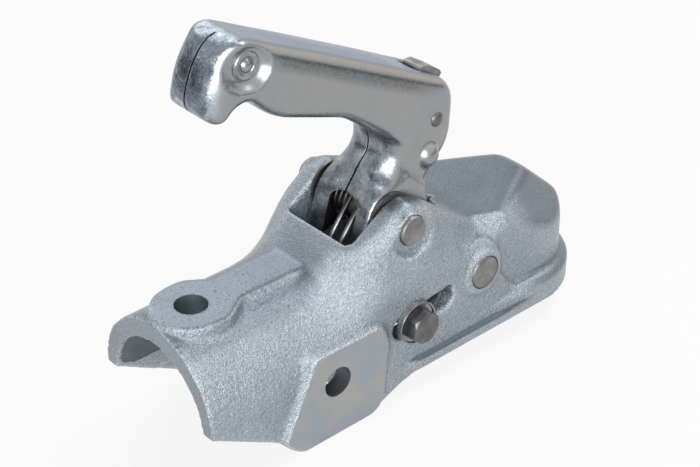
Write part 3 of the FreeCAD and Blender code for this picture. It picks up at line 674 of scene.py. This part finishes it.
def flat_faces(places, normals):
    """Smoother faces: the level tops, the lip's ledge, the dome's front and, a little, the rear end face;
    their darker colour is partly painted shade for the dark reflection on faces that look up.
    """
    x, y, z = places.T
    tops = ramp(normals[:, 2], 0.72, 0.93) * ramp(z, 30, 33)
    ledge = ramp(normals[:, 2], 0.15, 0.4) * ramp(x, 98, 104) * ramp(-z, 11, 12.5)
    dome = 0.75 * ramp(normals[:, 2], 0.1, 0.4) * ramp(x, 180, 196)
    rear = 0.35 * ramp(-normals[:, 0], 0.8, 0.95) * ramp(-x, -3, -1)
    return tops + ledge + dome + rear


def cast_weights(places):
    """Full on the body, less on the crisp lip, ridge and end face, and little round the milled bosses."""
    x, y, z = places.T
    boss = ramp(x, 28, 34) * ramp(-x, -104, -98) * ramp(abs(y), 37.8, 38.6)
    crisp = np.maximum(ramp(x, 96, 102) * ramp(-z, 7, 9) * 1.35, ramp(z, 38.5, 40) * ramp(-x, -74, -60))
    crisp = np.maximum(crisp, ramp(-x, -4, -1.5))
    return 1.0 - np.maximum(0.7 * boss, 0.65 * crisp)


# Cross holes in millimetres, filled before the skin is formed and drilled again afterwards: place, radius and
# the two distances from the middle plane between which they are filled
PLUGS = [(CROSS_BOLT, 7.25, 31, 39.5), (PIVOT, 7.25, 26, 33), (JAW_PIN, 8.3, 28, 38.2)]
PLUG_OVER = 0.6
# Distance of the milled faces from the middle plane, and of a plane clear of the bosses
MILLED_Y = 39.35
CLEAR_Y = 44


def cut_casting(skin, look):
    """Machines the bosses, the bore and the holes for the bolts and pins."""
    milled = milled_material(look)
    bored = bore_material(look)
    for side in (-1, 1):
        low, high = sorted((MILLED_Y * side, CLEAR_Y * side))
        cut_away(skin, box_cutter((34, low, -33), (100, high, 22)), milled)
    drill = rod_cutter((UPRIGHT_BOLT_X / 1000, 0, 0.045), look.bolt_hole, 0.05, "Z")
    for (x, z), r, low, high in PLUGS:
        join_into(drill, rod_cutter((x / 1000, 0, z / 1000), r / 1000, 0.12, "Y"))
    cut_away(skin, drill, bored)
    cut_away(skin, rod_cutter((0.04, 0, 0), look.bore, 0.0915, "X"), bored)


class COUPLING_OT_lever(bpy.types.Operator):
    """Makes the pressed lever's rounded skin from its solid"""
    bl_idname = "coupling.lever"
    bl_label = "Lever"

    def execute(self, context):
        look = context.scene.coupling_lever
        skin = copy_of("lever_shell", "lever_skin")
        close_seam(skin)
        add_clay(skin)
        add_modifier(skin, "REMESH", mode="VOXEL", voxel_size=look.voxel, use_smooth_shade=True)
        form_lever(skin)
        before = vertex_table(skin, "co", 1000)
        weigh(skin, "form", 1.0 - 0.6 * ramp(-before[:, 2], -70, -60))
        add_modifier(skin, "SMOOTH", factor=0.5, iterations=look.rounding, vertex_group="form")
        weigh(skin, "ends", end_weights(before))
        add_modifier(skin, "SMOOTH", factor=0.5, iterations=look.end_rounding, vertex_group="ends")
        weigh(skin, "neck", neck_weights(before))
        add_modifier(skin, "SMOOTH", factor=0.5, iterations=look.neck_rounding, vertex_group="neck")
        mark_lever(skin)
        skin.data.materials.append(plating_material(look, mottle_group()))
        # Near-black painted shade for the seam and for the cut faces inside the foot
        dark = steel_material("seam shadow", (0.03, 0.03, 0.035), 0.6)
        hollow_foot(skin, dark)
        cut_away(skin, prism_cutter(SEAM, seam_wave, look.seam / 2), dark)
        smooth_faces(skin, 50)
        seat(skin, "lever_shell")
        return {"FINISHED"}


SEAM = [(0.0289, 0.1650), (0.0405, 0.1591), (0.0423, 0.1551), (0.148, 0.099), (0.146, 0.080), (0.128, 0.062),
        (0.124, 0.030), (0.090, 0.030), (0.0101, 0.110)]


def seam_wave(z):
    """Lets the seam wander a little, as two cut edges of a pressed sheet meet."""
    return 0.0004 * math.sin(190 * z) + 0.0002 * math.sin(520 * z + 1)


def close_seam(skin):
    """Joins the sheet's two edges on the middle plane, so that the seam can be cut cleanly later."""
    make_active(skin)
    bpy.ops.object.mode_set(mode="EDIT")
    bpy.ops.mesh.select_mode(type="FACE")
    bpy.ops.mesh.select_all(action="DESELECT")
    bpy.ops.object.mode_set(mode="OBJECT")
    for face in skin.data.polygons:
        face.select = on_sheet_edge(face.center.y) and abs(face.normal.y) > 0.99
    bpy.ops.object.mode_set(mode="EDIT")
    bpy.ops.mesh.delete(type="ONLY_FACE")
    bpy.ops.object.mode_set(mode="OBJECT")
    for vertex in skin.data.vertices:
        if on_sheet_edge(vertex.co.y):
            vertex.co.y = 0
    with editing(skin):
        bpy.ops.mesh.remove_doubles(threshold=0.00002)
        bpy.ops.mesh.delete_loose()


def on_sheet_edge(y):
    """Whether a place is on one of the sheet's edges, 0.45 mm off the middle plane."""
    return abs(abs(y) - 0.00045) < 0.00001


# Level sections of the neck and foot, in millimetres: Z, rear X, half width and corner radius
NECK = [(40, 98.3, 18.4, 2.6), (48, 99.9, 18.4, 2.6), (56, 102.2, 18.4, 2.8), (60, 104.0, 18.4, 3.2),
        (63.5, 106.6, 18.3, 4.2), (66, 109.4, 18.0, 6), (69, 112.7, 17.2, 8.5), (73, 115.6, 16.2, 9.5),
        (78, 118.0, 15.8, 9.5), (83, 118.9, 15.9, 9), (88, 118.2, 16.0, 8.5), (93, 115.6, 16.0, 8.5),
        (98, 113.0, 15.5, 9)]
NECK_FRONT = 127.0
# Middle and radius of the ball that swells each pressed knob
KNOB = (139.2, 13.6, 73.6)
KNOB_RADIUS = 6.4


def neck_solid():
    """Solid of the neck and foot, lofted through level sections with rounded rear corners."""
    rings = []
    for z, rear, half, r in NECK:
        ring = [(NECK_FRONT, -half, z)]
        for side, turns in ((-1, range(90, -1, -9)), (1, range(0, 91, 9))):
            for a in map(math.radians, turns):
                ring.append((rear + r - r * math.cos(a), side * (half - r + r * math.sin(a)), z))
        rings.append(ring + [(NECK_FRONT, half, z)])
    n = len(rings[0])
    points = [(x / 1000, y / 1000, z / 1000) for ring in rings for x, y, z in ring]
    walls = [(k * n + i, k * n + (i + 1) % n, (k + 1) * n + (i + 1) % n, (k + 1) * n + i)
             for k in range(len(rings) - 1) for i in range(n)]
    ends = [tuple(reversed(range(n))), tuple(range((len(rings) - 1) * n, len(rings) * n))]
    return mesh_piece("neck", points, [], walls + ends)


def add_clay(skin):
    """Joins the neck's solid and the balls of the pressed knobs, before the skin is formed."""
    join_into(skin, neck_solid())
    x, y, z = (length / 1000 for length in KNOB)
    for side in (-1, 1):
        deselect_all()
        bpy.ops.mesh.primitive_uv_sphere_add(
            segments=48, ring_count=24, radius=KNOB_RADIUS / 1000, location=(x, side * y, z))
        join_into(skin, bpy.context.object)


def hollow_foot(skin, inside):
    """Hollows the foot again for the spring, and opens its arch, underside and pivot holes, whose cut faces
    get the near-black painted shade.
    """
    pivot = (PIVOT[0] / 1000, 0, PIVOT[1] / 1000)
    coil_radius, pivot_radius, room_half = 0.0109, 0.00695, 15.9
    cut_away(skin, rod_cutter(pivot, coil_radius, 2 * room_half / 1000, "Y"), inside)
    cut_away(skin, box_cutter((102.5, -room_half, 34), (134.5, room_half, 46)), inside)
    cut_away(skin, rod_cutter(pivot, pivot_radius, 0.06, "Y"), inside)
    spring_z = 0.0565
    arch = box_cutter((90, -10.2, 34), (109, 7.6, spring_z * 1000))
    dome = rod_cutter((0.0995, -0.0013, spring_z), 0.0089, 0.019, "X")
    for vertex in dome.data.vertices:
        vertex.co.z = spring_z + (vertex.co.z - spring_z) * 0.62
    add_modifier(arch, "BOOLEAN", operation="UNION", object=dome, solver="EXACT")
    bpy.data.objects.remove(dome, do_unlink=True)
    cut_away(skin, arch, inside)


def grip_places(places):
    """Distances in millimetres along the grip from its rear top corner, and down across it."""
    x, z = places[:, 0] - GRIP_CORNER[0], places[:, 2] - GRIP_CORNER[1]
    sine, cosine = math.sin(GRIP_TILT), math.cos(GRIP_TILT)
    return x * cosine - z * sine, -x * sine - z * cosine


def grip_point(along, down):
    """X and Z in millimetres of the place that lies so far along and down the grip."""
    sine, cosine = math.sin(GRIP_TILT), math.cos(GRIP_TILT)
    return GRIP_CORNER[0] + cosine * along - sine * down, GRIP_CORNER[1] - sine * along - cosine * down


def form_lever(skin):
    """Rounds the rear end outward and crowns the spine."""
    places = vertex_table(skin, "co", 1000)
    along, down = grip_places(places)
    swell = np.sin(np.pi * ramp(down, -2, 36)) * ramp(-along, -14, -3)
    push(skin, swell, (-3.75, 0, 0.5))
    crown = ramp(-down, -3, -1) * (1 - ramp(abs(places[:, 1]), 2, 15))
    push(skin, crown * ramp(along, 25, 45) * ramp(-along, -112, -95), (0.4, 0, 0.8))


def neck_weights(places):
    """Strong on the rear of the neck and foot, where the sheet is drawn round the throat."""
    x, z = places[:, 0], places[:, 2]
    return 0.9 * ramp(z, 56, 66) * ramp(-z, -108, -98) * ramp(-x, -135, -127) * ramp(x, 94, 97)


def end_weights(places):
    """Strong round the closed rear end and the elbow's corner."""
    along, _ = grip_places(places)
    elbow = ramp(places[:, 0], 144, 150) * ramp(places[:, 2], 92, 98)
    return np.maximum(ramp(-along, -8, -2), elbow)


def mark_lever(skin):
    """Marks the drawn ends, and the painted reflection placed by the direction the skin faces: the spine, the
    stripe along its edge and the dark band below it.
    """
    places = vertex_table(skin, "co", 1000)
    normals = vertex_table(skin, "normal")
    along, down = grip_places(places)
    side = abs(normals[:, 1])
    lift = normals[:, 0] * math.sin(GRIP_TILT) + normals[:, 2] * math.cos(GRIP_TILT)
    # Drawn ends and throat: a mottled finish whose darker tint is partly painted reflection
    rear = ramp(-along, -9, -3) * ramp(-side, -0.85, -0.5)
    throat = ramp(-places[:, 2], -104, -92) * ramp(-side, -0.9, -0.6) * ramp(-places[:, 0], -132, -120)
    mark(skin, "drawn", rear + 0.7 * throat)
    # Painted reflection, placed by the direction the skin faces: a blue spine on top, a warm stripe beside it
    # and a dark band below it
    mark(skin, "spine", ramp(lift, 0.86, 0.96) * ramp(along, 4, 12))
    mark(skin, "stripe", ramp(lift, 0.6, 0.75) * ramp(-lift, -0.95, -0.86) * ramp(along, 10, 20))
    below_spine = ramp(-lift, -0.6, -0.4) * ramp(down, 2, 4) * ramp(-down, -10, -6.5)
    mark(skin, "band", 0.8 * below_spine * ramp(along, 18, 28) * ramp(-along, -125, -105))


class COUPLING_OT_steel(bpy.types.Operator):
    """Makes the pins, bolts, washers and wire, and gives them and the jaw their steel"""
    bl_idname = "coupling.steel"
    bl_label = "Steel pieces"

    def execute(self, context):
        look = context.scene.coupling_steel
        raw = steel_material("raw pin steel", look.raw, 0.42)
        dark = steel_material("dull bolt steel", look.bolt, 0.36)
        bright = steel_material("bright washer steel", look.bright, 0.26)
        jaw = steel_material("ground jaw iron", look.raw, 0.5)
        paint_nodes(raw, ["guide_roller", "pivot_bush", "grip_spacer", "elbow_spacers"])
        paint_nodes(dark, ["slide_washer_far", "pivot_washers"])
        paint_nodes(bright, ["slide_lock_washer"])
        paint_nodes(jaw, ["ball_jaw"])
        turned_steel(raw, bright, dark)
        break_edges("slide_nut", dark, look.bevel)
        break_edges("safety_catch", raw, 4 * look.bevel, (2.2, 0, -2.4))
        hexagon_bolt(dark)
        wire = wire_material(look)
        for name in ("lever_spring", "catch_spring"):
            round_wire(name, wire)
        return {"FINISHED"}


def finish_piece(piece, node, material):
    piece.data.materials.append(material)
    smooth_faces(piece, 35)
    seat(piece, node)


def turned_steel(raw, bright, dark):
    """Pins, washers and rivet heads, turned round their own lines."""
    for node, middle, half, r in (("lever_pivot_pin", PIVOT, 34.6, 6.9), ("jaw_pin", JAW_PIN, 38.6, 8.0)):
        finish_piece(turned_piece(node + "_skin", middle, pin_profile(half, r)), node, raw)
    washer = [(-36.85, 5.3), (-36.85, 10.5), (-39.6, 10.5), (-39.8, 10.25), (-39.6, 9.7), (-38.5, 9.4),
              (-38.35, 9.0), (-38.35, 5.3), (-36.85, 5.3)]
    piece = turned_piece("washer_skin", SLIDE_BOLT, washer)
    finish_piece(piece, "slide_washer_near", bright)
    head = [(17.5, 0), (17.3, 1.2), (16.9, 2.3), (16.3, 3.1), (15.9, 3.45), (15.9, 2.6)]
    piece = turned_piece("elbow_rivet_skin", ELBOW, both_ends(head))
    finish_piece(piece, "elbow_rivet", dark)
    dome = [(14.1, 0), (13.95, 1.1), (13.5, 2.1), (12.7, 2.9), (12.25, 3.1), (12.2, 3.5), (12.7, 3.9),
            (12.85, 4.4), (12.75, 5.6), (12.3, 6.0), (12.15, 6.3), (12.3, 6.7), (11.9, 6.8), (11.9, 2.9)]
    piece = turned_piece("grip_rivet_skin", grip_point(11.9, 10.4), both_ends(dome))
    finish_piece(piece, "grip_rivet", bright)


def hexagon_bolt(material):
    """Bolt with a chamfered hexagon head over its plain shank."""
    profile = [(-39, 0), (-39, 5), (49.5, 5), (50.5, 4), (50.5, 0)]
    shank = turned_piece("slide_bolt_skin", SLIDE_BOLT, profile)
    height, middle_y = 0.0068, -0.0418
    deselect_all()
    bpy.ops.mesh.primitive_cylinder_add(vertices=6, radius=0.0083, depth=height, location=(0, 0, 0))
    head = bpy.context.object
    deselect_all()
    bpy.ops.mesh.primitive_cone_add(
        vertices=96, radius1=0.0139, radius2=0.0071, depth=height, location=(0, 0, 0))
    cone = bpy.context.object
    add_modifier(head, "BOOLEAN", operation="INTERSECT", object=cone, solver="EXACT")
    bpy.data.objects.remove(cone, do_unlink=True)
    add_modifier(head, "BEVEL", width=0.0002, segments=2, limit_method="ANGLE", angle_limit=math.radians(30))
    x, z = SLIDE_BOLT
    with editing(head):
        bpy.ops.transform.rotate(value=math.radians(10), orient_axis="Z", center_override=(0, 0, 0))
        bpy.ops.transform.rotate(value=math.radians(-90), orient_axis="X", center_override=(0, 0, 0))
        bpy.ops.transform.translate(value=(x / 1000, middle_y, z / 1000))
    join_into(shank, head)
    finish_piece(shank, "slide_bolt", material)


def break_edges(node, material, width, tab_shift=None):
    """A node's copy with rounded edges; the catch's tab, which stands above Z 103, is moved by a shift."""
    piece = copy_of(node, node + "_skin")
    add_modifier(piece, "DECIMATE", decimate_type="DISSOLVE", angle_limit=math.radians(2))
    if tab_shift:
        push(piece, ramp(vertex_table(piece, "co", 1000)[:, 2], 103, 105), tab_shift)
    add_modifier(piece, "BEVEL", width=width, segments=3, limit_method="ANGLE", angle_limit=math.radians(35))
    finish_piece(piece, node, material)


def round_wire(node, material):
    """Wire with its facets rounded away, and its turns round the pivot marked for painted shade."""
    piece = copy_of(node, node + "_skin")
    with editing(piece):
        bpy.ops.mesh.tris_convert_to_quads()
    add_modifier(piece, "SUBSURF", levels=2)
    x, y, z = vertex_table(piece, "co", 1000).T
    mark(piece, "painted_coil_shade", ramp(-np.hypot(x - PIVOT[0], z - PIVOT[1]), -13.5, -12.5))
    finish_piece(piece, node, material)


# The stage in metres. Lights: place, size and share of the key light's power. Cards: place, width, height
FLOOR_GAP = 0.0002
AIM = (0.1, 0, 0.05)
LIGHTS = {"front light": ((-1.09, -1.19, 0.68), 1.26, 1.0), "top light": ((0.75, -0.15, 1.1), 0.5, 0.18),
          "rear light": ((0.5, 1.0, 0.9), 0.8, 0.155)}
CARDS = {"right card": ((1.15, -1.15, 0.1), 2.2, 0.45), "left card": ((-1.0, 0.95, 0.25), 1.6, 0.55)}


class COUPLING_OT_stage(bpy.types.Operator):
    """Adds the pale floor, the soft lights, the dark cards and the camera"""
    bl_idname = "coupling.stage"
    bl_label = "Stage"

    def execute(self, context):
        look = context.scene.coupling_stage
        add_floor(Vector(cad_box[0]).z - FLOOR_GAP)
        add_world(context, look)
        for name, (place, size, share) in LIGHTS.items():
            area_light(name, place, size, look.key * share)
        for name, (place, width, height) in CARDS.items():
            dark_card(name, place, width, height)
        add_camera(context)
        return {"FINISHED"}


def stage_plane(name, grey, roughness, **values):
    """Plain grey plane of the set."""
    deselect_all()
    bpy.ops.mesh.primitive_plane_add(**values)
    plane = bpy.context.object
    plane.name = name
    material, tree, shader, _ = new_material(name)
    shader.inputs["Base Color"].default_value = (grey, grey, grey, 1)
    shader.inputs["Roughness"].default_value = roughness
    plane.data.materials.append(material)
    return plane, tree, shader


def add_floor(height):
    _, tree, shader = stage_plane("floor", 0.82, 0.9, size=12, location=(AIM[0], 0, height))
    white_to_camera(tree, shader)


def seen_rays(tree):
    """1 for the rays that show the background: straight from the camera, or by gloss or glass."""
    light = tree.nodes.new("ShaderNodeLightPath")
    seen = math_node(tree, "ADD", light.outputs["Is Camera Ray"], light.outputs["Is Glossy Ray"])
    return math_node(tree, "ADD", seen, light.outputs["Is Transmission Ray"], clamp=True)


def white_to_camera(tree, shader):
    """Shows the floor white, and keeps the object's shadow on it."""
    glow = tree.nodes.new("ShaderNodeEmission")
    glow.inputs["Strength"].default_value = 1.0
    mix = tree.nodes.new("ShaderNodeMixShader")
    tree.links.new(math_node(tree, "MULTIPLY", seen_rays(tree), 0.85), mix.inputs[0])
    tree.links.new(shader.outputs[0], mix.inputs[1])
    tree.links.new(glow.outputs[0], mix.inputs[2])
    tree.links.new(mix.outputs[0], tree.nodes["Material Output"].inputs["Surface"])


def add_world(context, look):
    world = bpy.data.worlds.new("studio")
    context.scene.world = world
    world.use_nodes = True
    tree = world.node_tree
    back = tree.nodes["Background"]
    tree.links.new(range_node(tree, seen_rays(tree), 0, 1, look.sky, 1.0), back.inputs["Strength"])
    back.inputs["Color"].default_value = (1, 1, 1, 1)


def area_light(name, place, size, power):
    deselect_all()
    bpy.ops.object.light_add(type="AREA", location=place)
    light = bpy.context.object
    light.name = name
    light.data.size = size
    light.data.energy = power
    aim = Vector(AIM) - Vector(place)
    light.rotation_euler = aim.to_track_quat("-Z", "Y").to_euler()


def dark_card(name, place, width, height):
    """Upright dark card that only metal mirrors."""
    turn = math.atan2(place[1], place[0] - AIM[0]) + math.pi / 2
    card, _, _ = stage_plane(name, 0.12, 1.0, size=1, location=place, rotation=(math.pi / 2, 0, turn))
    card.scale = (width, height, 1)
    card.visible_camera = False
    card.visible_shadow = False
    card.visible_diffuse = False


def add_camera(context):
    deselect_all()
    bpy.ops.object.camera_add()
    camera = context.object
    camera.name = "camera"
    right = (0.7487, -0.6629, 0.0)
    up = (0.3594, 0.4059, 0.8403)
    back = (-0.5570, -0.6291, 0.5422)
    eye = (-0.3158, -0.4711, 0.4497)
    camera.matrix_world = Matrix(
        [[right[i], up[i], back[i], eye[i]] for i in range(3)] + [[0, 0, 0, 1]])
    camera.data.sensor_width = 36
    camera.data.lens = 87.56
    camera.data.shift_x = 0.0158
    camera.data.shift_y = -0.0065
    camera.data.clip_start = 0.01
    context.scene.camera = camera


class COUPLING_PT_panel(bpy.types.Panel):
    bl_label = "Coupling head"
    bl_idname = "COUPLING_PT_panel"
    bl_space_type = "VIEW_3D"
    bl_region_type = "UI"
    bl_category = "Coupling"

    def draw(self, context):
        for operator in OPERATORS:
            self.layout.operator(operator.bl_idname)


LOOKS = {
    "coupling_casting": CastingLook,
    "coupling_lever": LeverLook,
    "coupling_steel": SteelLook,
    "coupling_stage": StageLook,
}
OPERATORS = (COUPLING_OT_casting, COUPLING_OT_lever, COUPLING_OT_steel, COUPLING_OT_stage)


def register():
    for name, look in LOOKS.items():
        bpy.utils.register_class(look)
        setattr(bpy.types.Scene, name, bpy.props.PointerProperty(type=look))
    for operator in OPERATORS:
        bpy.utils.register_class(operator)
    bpy.utils.register_class(COUPLING_PT_panel)


def unregister():
    bpy.utils.unregister_class(COUPLING_PT_panel)
    for operator in reversed(OPERATORS):
        bpy.utils.unregister_class(operator)
    for name, look in LOOKS.items():
        delattr(bpy.types.Scene, name)
        bpy.utils.unregister_class(look)


def main():
    register()
    bpy.context.scene.view_settings.view_transform = "Standard"
    bpy.ops.coupling.casting()
    bpy.ops.coupling.lever()
    bpy.ops.coupling.steel()
    bpy.ops.coupling.stage()


if __name__ == "__main__":
    main()
